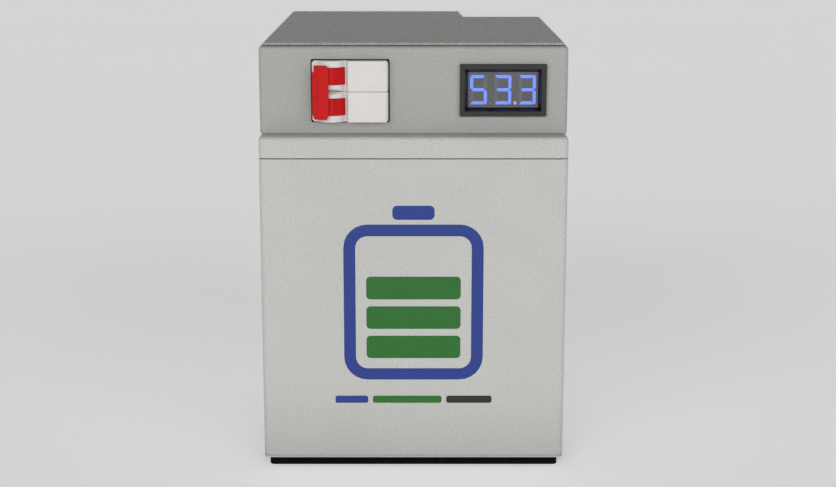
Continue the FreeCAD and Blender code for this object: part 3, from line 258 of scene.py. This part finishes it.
def powder_coat(name, tone, contrast, roughness):
    """Baked powder paint: a fine pebbled skin with a slight mottle, and painted shade towards
    the foot of the case.
    """
    finish = Finish(name, roughness)
    grain = finish.noise(0.8 * MM, detail=3)
    mottle = finish.ramp(grain, ((0.32, linear(shade(tone, 1 - contrast))),
                                 (0.5, linear(tone)),
                                 (0.68, linear(shade(tone, 1 + contrast)))))
    cloud = finish.ramp(finish.noise(60 * MM), ((0.3, (0.965, 0.965, 0.965, 1)),
                                                (0.7, (1, 1, 1, 1))))
    # Painted shade: the colour darkens towards the foot of the case.
    finish.paint(finish.painted_foot_shade(finish.mix(1.0, mottle, cloud, "MULTIPLY")))
    finish.rough(finish.span(finish.noise(2.5 * MM), roughness - 0.05, roughness + 0.07))
    return finish.bump(finish.noise(0.7 * MM, detail=1), 0.03 * MM).material


def satin_coat(name, tone, contrast, roughness):
    """Glossier powder paint, whose pebbles glint at a low angle."""
    finish = Finish(name, roughness, specular=0.3)
    finish.paint(finish.shades(finish.noise(0.9 * MM, detail=3), tone, 1 - contrast,
                               1 + contrast, 0.34, 0.66))
    finish.rough(finish.span(finish.noise(4 * MM), roughness - 0.04, roughness + 0.06))
    return finish.bump(finish.noise(0.9 * MM, detail=2), 0.015 * MM).material


def moulded(name, tone, roughness, texture=0.3 * MM, relief=0.004 * MM, coat=0.0, specular=0.5):
    """Moulded plastic: nearly even colour, with the mould's fine texture."""
    finish = Finish(name, roughness, coat=coat, specular=specular)
    finish.shader.inputs["Coat Roughness"].default_value = 0.1
    finish.paint(finish.shades(finish.noise(9 * MM), tone, 0.988, 1.008, 0.35, 0.65))
    finish.rough(finish.span(finish.noise(4 * MM), roughness - 0.03, roughness + 0.04))
    return finish.bump(finish.noise(texture, detail=1), relief).material


def bezel(name, face_tone, shaded_recess_tone, face):
    """Matt textured plastic on the frame, turning to smooth black inside the mouth, darkened
    there to near-black as painted shade of the recess.
    """
    finish = Finish(name)
    axes = finish.tree.nodes.new("ShaderNodeSeparateXYZ")
    finish.tree.links.new(finish.coordinates, axes.inputs["Vector"])
    depth = finish.span(axes.outputs["Y"], 0.0, 1.0, face + 0.5 * MM, face + 0.8 * MM)
    speckle = finish.shades(finish.noise(0.8 * MM), face_tone, 0.92, 1.06)
    finish.paint(finish.mix(depth, speckle, linear(shaded_recess_tone)))
    finish.rough(finish.span(depth, 0.55, 0.25, 0.0, 1.0))
    return finish.bump(finish.noise(0.4 * MM, detail=1), 0.006 * MM).material


def rubber(name, tone):
    """Matt rubber with a faint bloom."""
    finish = Finish(name, roughness=0.85, specular=0.08)
    finish.paint(finish.shades(finish.noise(5 * MM, detail=4), tone, 0.8, 1.5))
    return finish.bump(finish.noise(0.6 * MM), 0.03 * MM).material


def metal(name, tone, roughness, streak=(1, 1, 1)):
    """Bare or plated metal with fine streaks along one axis."""
    finish = Finish(name, roughness, metallic=1.0)
    lines = finish.noise(0.5 * MM, detail=3, vector=finish.stretched(streak))
    finish.paint(finish.shades(lines, tone, 0.9, 1.04))
    finish.rough(finish.span(lines, roughness - 0.06, roughness + 0.08))
    return finish.bump(lines, 0.003 * MM).material


def glass_front(name, tone):
    """The smoked filter of the display, faintly clouded."""
    finish = Finish(name, roughness=0.35)
    finish.paint(finish.shades(finish.noise(6 * MM), tone, 0.96, 1.04))
    return finish.bump(finish.noise(0.3 * MM), 0.002 * MM).material


def glow(name, tone, strength):
    """A lit display segment, a little brighter in patches like the chips behind it."""
    finish = Finish(name, roughness=0.4)
    finish.paint(finish.shades(finish.noise(2 * MM), tone, 0.5, 0.6))
    light = finish.shades(finish.noise(3 * MM), tone, 0.95, 1.0)
    finish.tree.links.new(light, finish.shader.inputs["Emission Color"])
    finish.shader.inputs["Emission Strength"].default_value = strength
    return finish.material


def ink(name, tone):
    """Screen-printed ink that takes the pebble of the paint under it."""
    finish = Finish(name, roughness=0.48)
    finish.paint(finish.shades(finish.noise(0.9 * MM, detail=3), tone, 0.9, 1.08))
    return finish.bump(finish.noise(0.7 * MM, detail=1), 0.012 * MM).material


def floor_material():
    """A matt pale floor that glows faintly, as a lit paper sweep does."""
    finish = Finish("floor_sweep", roughness=0.8, specular=0.1)
    finish.shader.inputs["Emission Color"].default_value = (1, 1, 1, 1)
    finish.shader.inputs["Emission Strength"].default_value = FLOOR_GLOW
    finish.paint(finish.shades(finish.noise(0.4), FLOOR_TONE, 0.995, 1.0))
    return finish.material


MATERIALS = {
    "case_paint": powder_coat("case_paint", CASE_TONE, 0.065, 0.5),
    "housing_paint": powder_coat("housing_paint", HOUSING_TONE, 0.075, 0.5),
    "cover_paint": satin_coat("cover_paint", COVER_SHADED_TONE, 0.12, 0.25),
    "rubber_black": rubber("rubber_black", RUBBER_TONE),
    "seal_black": rubber("seal_black", RUBBER_TONE),
    "zinc_steel": metal("zinc_steel", STEEL_TONE, 0.32, (1, 1, 0.1)),
    "copper": metal("copper", COPPER_TONE, 0.3, (1, 0.1, 1)),
    "breaker_white": moulded("breaker_white", BREAKER_TONE, 0.42),
    "toggle_red": moulded("toggle_red", TOGGLE_TONE, 0.3, 0.3 * MM, 0.001 * MM, 0.25, 0.15),
    "bezel_black": bezel("bezel_black", BEZEL_TONE, RECESS_SHADE_TONE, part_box("meter_bezel")[0].y),
    "display_smoke": glass_front("display_smoke", GLASS_TONE),
    "circuit_green": moulded("circuit_green", CIRCUIT_TONE, 0.35),
    "tray_black": moulded("tray_black", TRAY_TONE, 0.55, 0.5 * MM, 0.01 * MM),
    "post_brass": metal("post_brass", BRASS_TONE, 0.26, (1, 1, 0.2)),
    "cell_blue": moulded("cell_blue", CELL_TONE, 0.3, coat=0.3),
    "cell_foam": rubber("cell_foam", FOAM_TONE),
    "plate_grey": moulded("plate_grey", PLATE_TONE, 0.6),
    "heatsink_alu": metal("heatsink_alu", ALUMINIUM_TONE, 0.38, (1, 0.05, 1)),
    "cable_red": rubber("cable_red", CABLE_RED),
    "cable_black": rubber("cable_black", CABLE_BLACK),
    "digit_blue": glow("digit_blue", LIT_TONE, 0.9),
    "digit_lilac": glow("digit_lilac", POINT_TONE, 0.9),
    "digit_dark": glass_front("digit_dark", UNLIT_TONE),
    "mark_blue": ink("mark_blue", INK_BLUE),
    "mark_green": ink("mark_green", INK_GREEN),
    "mark_black": ink("mark_black", INK_BLACK),
}


# ---------------------------------------------------------------- the CAD nodes

# How far the edges of each visible node are broken, in millimetres.
EDGE_BREAK = {
    "case_shell": 0.15, "case_lid": 0.2, "module_housing": 0.12, "module_cover": 0.2,
    "base_mat": 0.5, "pole_case_lower": 0.2, "pole_case_upper": 0.2, "pole_cover_lower": 0.2,
    "pole_cover_upper": 0.2, "toggle_lower": 0.15, "toggle_upper": 0.15,
    "toggle_tie_bar": 0.3, "meter_bezel": 0.12, "terminal_tray": 0.3,
}


def break_edges(node, width):
    """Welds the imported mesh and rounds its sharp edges, so that they catch the light."""
    mesh = node.data
    if "custom_normal" in mesh.attributes:
        mesh.attributes.remove(mesh.attributes["custom_normal"])
    mesh.shade_smooth()
    weld = node.modifiers.new("weld", "WELD")
    weld.merge_threshold = 0.001 * MM
    bevel = node.modifiers.new("edge_break", "BEVEL")
    bevel.width = width
    bevel.segments = 2
    bevel.limit_method = "ANGLE"
    bevel.angle_limit = math.radians(35)
    bevel.harden_normals = True
    bevel.use_clamp_overlap = True
    flatten = node.modifiers.new("flat_faces", "WEIGHTED_NORMAL")
    flatten.mode = "FACE_AREA"
    flatten.weight = 100


def dress_nodes():
    """Gives each CAD node its material, and the visible ones broken edges."""
    slots = {part["node"]: part["material_slot"] for part in frame["record"]["subparts"]}
    for name, node in NODES.items():
        material = MATERIALS[slots[name]]
        for index in range(len(node.data.materials)):
            node.data.materials[index] = material
        if not node.data.materials:
            node.data.materials.append(material)
        if name in EDGE_BREAK:
            break_edges(node, EDGE_BREAK[name] * MM)


# ---------------------------------------------------------------- flat printed and lit shapes

def rounded(points, radii, steps=6):
    """An outline whose corners are arcs of the given radii."""
    outline = []
    count = len(points)
    for index, (corner, radius) in enumerate(zip(points, radii)):
        before = (points[index - 1] - corner).normalized()
        after = (points[(index + 1) % count] - corner).normalized()
        if radius <= 0:
            outline.append(corner)
            continue
        half = before.angle(after) / 2
        centre = corner + (before + after).normalized() * (radius / math.sin(half))
        start = corner + before * (radius / math.tan(half)) - centre
        end = corner + after * (radius / math.tan(half)) - centre
        for step in range(steps + 1):
            outline.append(centre + start.slerp(end, step / steps) * radius)
    return outline


def finish_piece(name, mesh_in_work, material):
    """Turns the mesh into a piece of the fixed body, with its finish."""
    bmesh.ops.recalc_face_normals(mesh_in_work, faces=mesh_in_work.faces)
    mesh = bpy.data.meshes.new(name)
    mesh_in_work.to_mesh(mesh)
    mesh_in_work.free()
    mesh.materials.append(MATERIALS[material])
    piece = bpy.data.objects.new(name, mesh)
    bpy.context.scene.collection.objects.link(piece)
    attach(piece, "root")


def plate(name, outlines, depth, back, material, hole=None):
    """Thin plates that face the front, each from an outline in X and Z.
    With a hole, which has as many points, the only outline becomes a frame."""
    sheet = bmesh.new()
    for outline in outlines:
        loop = [sheet.verts.new((point.x, back, point.z)) for point in outline]
        if hole:
            inner = [sheet.verts.new((point.x, back, point.z)) for point in hole]
            for index in range(len(loop)):
                sheet.faces.new((loop[index - 1], loop[index], inner[index], inner[index - 1]))
        else:
            sheet.faces.new(loop)
    raised = bmesh.ops.extrude_face_region(sheet, geom=sheet.faces[:])
    moved = [item for item in raised["geom"] if isinstance(item, bmesh.types.BMVert)]
    bmesh.ops.translate(sheet, verts=moved, vec=(0, -depth, 0))
    finish_piece(name, sheet, material)


def digit_segments(left, low):
    """The seven outlines of one digit by their usual letters, mitred where they meet.
    The level bars fill the left corners and the upright ones the right corners."""
    wide, tall, stroke = DIGIT_WIDTH, DIGIT_HEIGHT, STROKE
    half, gap, middle = STROKE / 2, STROKE_GAP, DIGIT_HEIGHT / 2

    def shape(pairs):
        points = [Vector((left + across, 0, low + up)) for across, up in pairs]
        return rounded(points, (SEGMENT_RADIUS,) * len(points), steps=3)

    def flip(pairs):
        return [(across, tall - up) for across, up in pairs]

    top = [(0, tall), (wide - 0.75 * stroke - gap, tall),
           (wide - 1.15 * stroke - gap, tall - stroke), (0.9 * stroke, tall - stroke)]
    bar = [(half + gap, middle), (stroke + gap, middle + half),
           (wide - stroke - gap, middle + half), (wide - half - gap, middle),
           (wide - stroke - gap, middle - half), (stroke + gap, middle - half)]
    upper_left = [(0, middle + gap + half), (half, middle + gap), (stroke, middle + gap + half),
                  (stroke, tall - stroke - gap), (0.9 * stroke, tall - stroke - gap),
                  (0, tall - 0.4 * stroke)]
    upper_right = [(wide, middle + gap + half), (wide - half, middle + gap),
                   (wide - stroke, middle + gap + half), (wide - stroke, tall - stroke),
                   (wide - 0.75 * stroke, tall), (wide - 0.35 * stroke, tall - 0.05 * stroke),
                   (wide, tall - 0.5 * stroke)]
    return {
        "a": shape(top), "d": shape(flip(top)), "g": shape(bar), "f": shape(upper_left),
        "e": shape(flip(upper_left)), "b": shape(upper_right), "c": shape(flip(upper_right)),
    }


def voltmeter_reading():
    """The three digits, with the lit segments glowing and the rest just visible."""
    lit, unlit, points = [], [], []
    digits = [sign for sign in READING if sign != "."]
    span = DIGIT_PITCH * (len(digits) - 1) + DIGIT_WIDTH
    left = (GLASS_LOW.x + GLASS_HIGH.x - span) / 2
    low = (GLASS_LOW.z + GLASS_HIGH.z - DIGIT_HEIGHT) / 2
    for index, sign in enumerate(digits):
        for letter, outline in digit_segments(left + index * DIGIT_PITCH, low).items():
            (lit if letter in SEGMENTS_OF[sign] else unlit).append(outline)
    for index in range(len(digits) - 1):
        start = left + (index + 1) * DIGIT_PITCH - (DIGIT_PITCH - DIGIT_WIDTH + POINT_SIZE) / 2
        point = panel(start, start + POINT_SIZE, low, low + POINT_SIZE, 0.3 * POINT_SIZE)
        (points if index == READING.index(".") - 1 else unlit).append(point)
    plate("meter_segments_lit", lit, LIT_DEPTH, GLASS_LOW.y, "digit_blue")
    plate("meter_point_lit", points, LIT_DEPTH, GLASS_LOW.y, "digit_lilac")
    plate("meter_segments_unlit", unlit, LIT_DEPTH, GLASS_LOW.y, "digit_dark")


def panel(left, right, low, high, radius):
    """A rounded rectangle in X and Z."""
    corners = [Vector((left, 0, low)), Vector((right, 0, low)), Vector((right, 0, high)),
               Vector((left, 0, high))]
    return rounded(corners, (radius,) * 4)


def front_mark():
    """A plain charge symbol: a battery outline with its charge as bars, over a ruled line."""
    half, line = MARK_WIDTH / 2, MARK_LINE
    low = CASE_LOW.z + MARK_MIDDLE * CASE_HEIGHT - MARK_HEIGHT / 2
    high = low + MARK_HEIGHT - 1.6 * line
    plate("mark_outline", [panel(-half, half, low, high, 2 * line)], INK_DEPTH, CASE_LOW.y,
          "mark_blue", panel(line - half, half - line, low + line, high - line, line))
    cap = panel(-0.3 * half, 0.3 * half, high + 0.4 * line, high + 1.6 * line, 0.4 * line)
    plate("mark_cap", [cap], INK_DEPTH, CASE_LOW.y, "mark_blue")
    side = half - 1.9 * line
    gap = 0.6 * line
    step = (high - low - 3.8 * line + gap) / CHARGE_STEPS
    bars = [panel(-side, side, start, start + step - gap, 0.35 * line)
            for start in (low + 1.9 * line + index * step for index in range(CHARGE_BARS))]
    plate("mark_bars", bars, INK_DEPTH, CASE_LOW.y, "mark_green")
    rule_low = CASE_LOW.z + RULE_FOOT * CASE_HEIGHT
    for name, start, end, tone in RULE_PARTS:
        stroke = panel(start * RULE_LENGTH, end * RULE_LENGTH, rule_low, rule_low + RULE_HEIGHT,
                       0.3 * RULE_HEIGHT)
        plate(name, [stroke], INK_DEPTH, CASE_LOW.y, tone)


def polarity_ring(name, post, material):
    """A coloured inlay on the tray round a terminal's foot."""
    low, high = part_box(post)
    centre = (low + high) / 2
    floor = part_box("terminal_bars")[0].z
    ring = bmesh.new()
    shoulder = RING_HEIGHT - RING_BEVEL
    profile = ((RING_INNER, 0.0), (RING_INNER, shoulder), (RING_INNER + RING_BEVEL, RING_HEIGHT),
               (RING_OUTER - RING_BEVEL, RING_HEIGHT), (RING_OUTER, shoulder), (RING_OUTER, 0.0))
    rows = []
    for turn in range(RING_SIDES):
        angle = turn / RING_SIDES * math.tau
        rows.append([ring.verts.new((centre.x + radius * math.cos(angle),
                                     centre.y + radius * math.sin(angle), floor + up))
                     for radius, up in profile])
    for turn in range(RING_SIDES):
        here, following = rows[turn], rows[(turn + 1) % RING_SIDES]
        for index in range(len(profile)):
            after = (index + 1) % len(profile)
            ring.faces.new((here[index], following[index], following[after], here[after]))
    finish_piece(name, ring, material)


# ---------------------------------------------------------------- stage, light and camera

def stage():
    """A pale floor that reaches past the horizon of every view."""
    mesh = bpy.data.meshes.new("floor")
    ground = bmesh.new()
    bmesh.ops.create_circle(ground, cap_ends=True, segments=96, radius=FLOOR_RADIUS)
    ground.to_mesh(mesh)
    ground.free()
    floor = bpy.data.objects.new("floor", mesh)
    bpy.context.scene.collection.objects.link(floor)
    mesh.materials.append(floor_material())


def sun(name, across, strength):
    """A broad light from in front, at that many degrees to the right of straight on."""
    light = bpy.data.lights.new(name, "SUN")
    light.energy = strength
    light.angle = math.radians(SUN_SPREAD)
    lamp = bpy.data.objects.new(name, light)
    lamp.rotation_euler = (math.radians(90 - SUN_ELEVATION), 0, math.radians(across))
    bpy.context.scene.collection.objects.link(lamp)


def light_studio():
    """A surround that is brightest at the horizon and halfway up, and two broad front lights."""
    world = bpy.data.worlds.new("studio")
    world.use_nodes = True
    tree = world.node_tree
    direction = tree.nodes.new("ShaderNodeTexCoord").outputs["Generated"]
    height = tree.nodes.new("ShaderNodeSeparateXYZ")
    tree.links.new(direction, height.inputs["Vector"])
    fade = tree.nodes.new("ShaderNodeValToRGB")
    elements = fade.color_ramp.elements
    while len(elements) < len(SURROUND):
        elements.new(0.5)
    for element, (place, brightness) in zip(elements, SURROUND):
        element.position = place
        element.color = (brightness, brightness, brightness, 1)
    tree.links.new(height.outputs["Z"], fade.inputs["Fac"])
    background = tree.nodes["Background"]
    background.inputs["Strength"].default_value = SURROUND_STRENGTH
    tree.links.new(fade.outputs["Color"], background.inputs["Color"])
    bpy.context.scene.world = world
    for name, across, strength in SUNS:
        sun(name, across, strength)
    bpy.context.scene.view_settings.view_transform = "Standard"


def camera():
    """The viewpoint: straight in front, a little above, looking slightly down."""
    lens = bpy.data.cameras.new("front_view")
    lens.sensor_width = SENSOR_WIDTH
    lens.lens = LENS
    lens.shift_x, lens.shift_y = SHIFT
    lens.clip_start = 0.01
    lens.clip_end = 100
    viewer = bpy.data.objects.new("front_view", lens)
    viewer.location = VIEWPOINT
    viewer.rotation_euler = (math.radians(90 - PITCH), 0, 0)
    bpy.context.scene.collection.objects.link(viewer)
    bpy.context.scene.camera = viewer


dress_nodes()
voltmeter_reading()
front_mark()
polarity_ring("polarity_red", "terminal_positive", "toggle_red")
polarity_ring("polarity_black", "terminal_negative", "tray_black")
stage()
light_studio()
camera()
